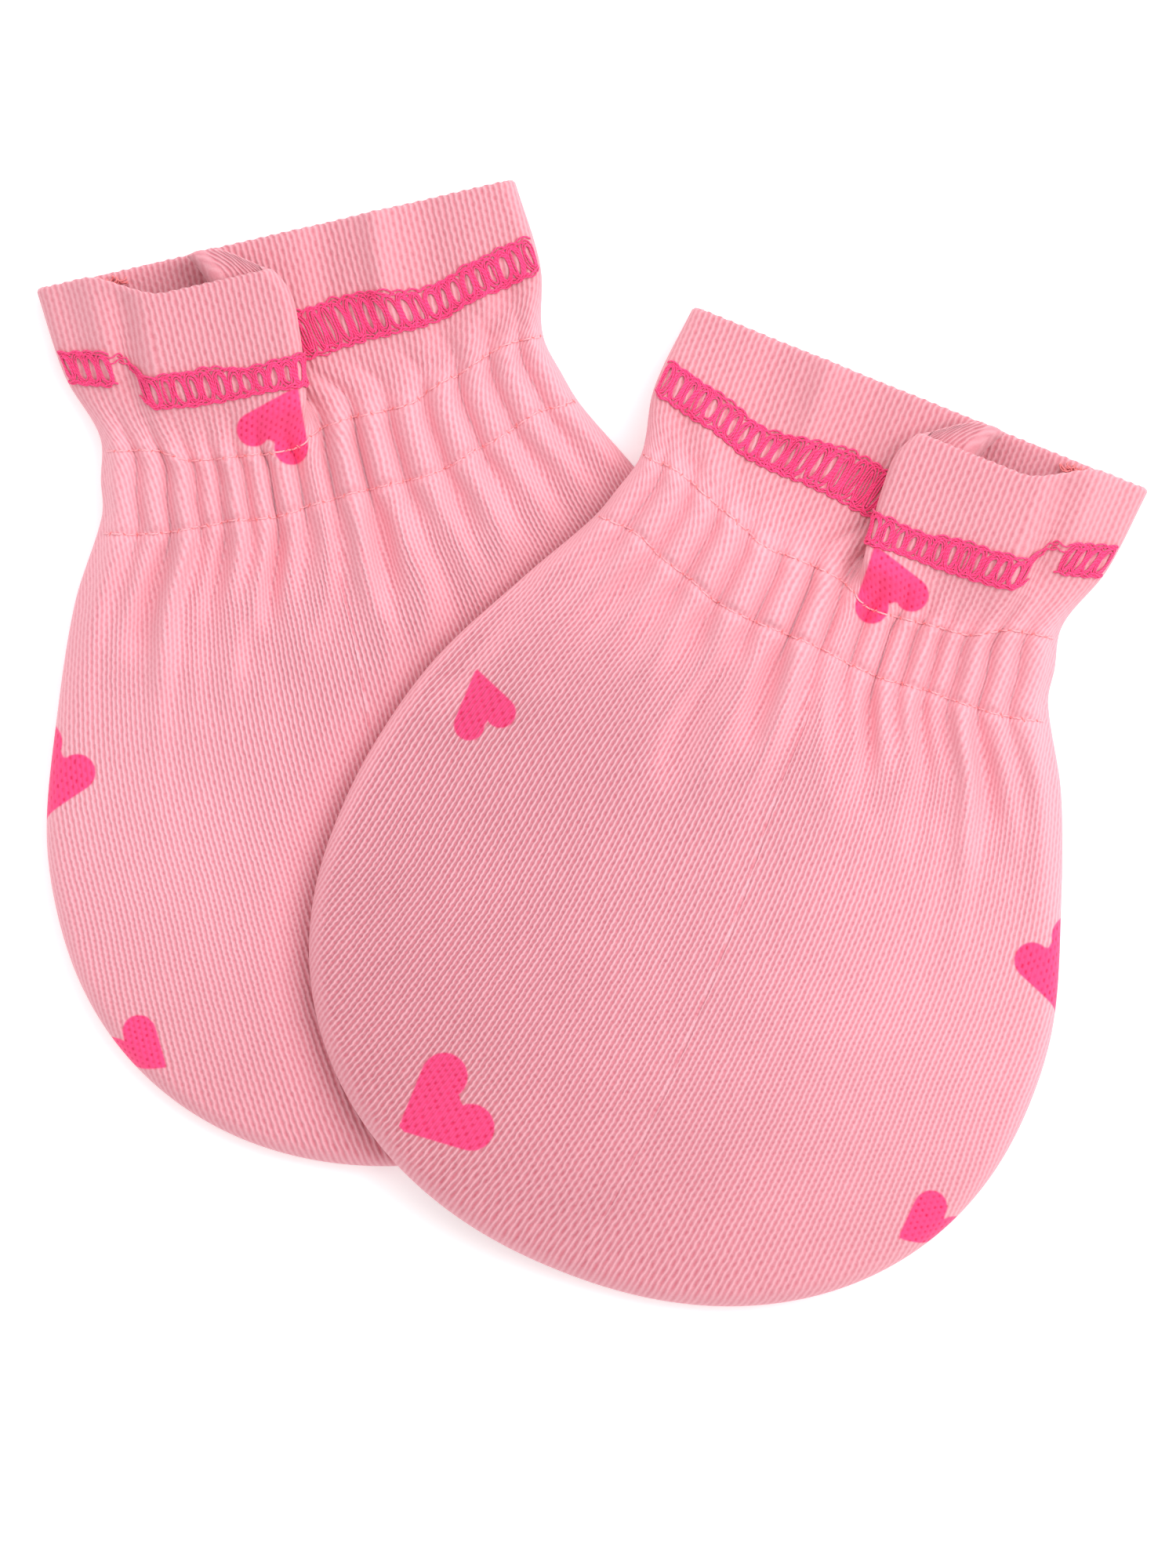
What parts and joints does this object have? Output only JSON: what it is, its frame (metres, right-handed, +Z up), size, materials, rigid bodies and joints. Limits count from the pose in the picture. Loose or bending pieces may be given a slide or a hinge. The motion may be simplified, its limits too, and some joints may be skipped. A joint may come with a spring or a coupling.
{
  "type": "pair of baby mittens",
  "caption": "Pair of newborn knit mittens with gathered elastic wrists and flared cuffs, laid flat with the right mitten overlapping the left.",
  "frame": {"origin": "middle of the pair's box, on the surface that the mittens lie on", "axes": "+Z up from the surface, +Y towards the cuffs as the pair lies, +X to the right seen from above"},
  "size_m": [0.1192, 0.1207, 0.0105],
  "materials": {
    "knit_front": "matte, light pink cotton knit with scattered hot-pink hearts",
    "knit_back": "matte, light pink cotton knit with scattered hot-pink hearts",
    "elastic": "matte woven elastic",
    "hem_thread": "matte hot-pink sewing thread",
    "wrist_thread": "matte pink sewing thread"
  },
  "bodies": {
    "root": {"right_front": "knit_front", "right_back": "knit_back", "right_wrist_elastic": "elastic", "left_front": "knit_front", "left_back": "knit_back", "left_wrist_elastic": "elastic"}
  },
  "joints": []
}
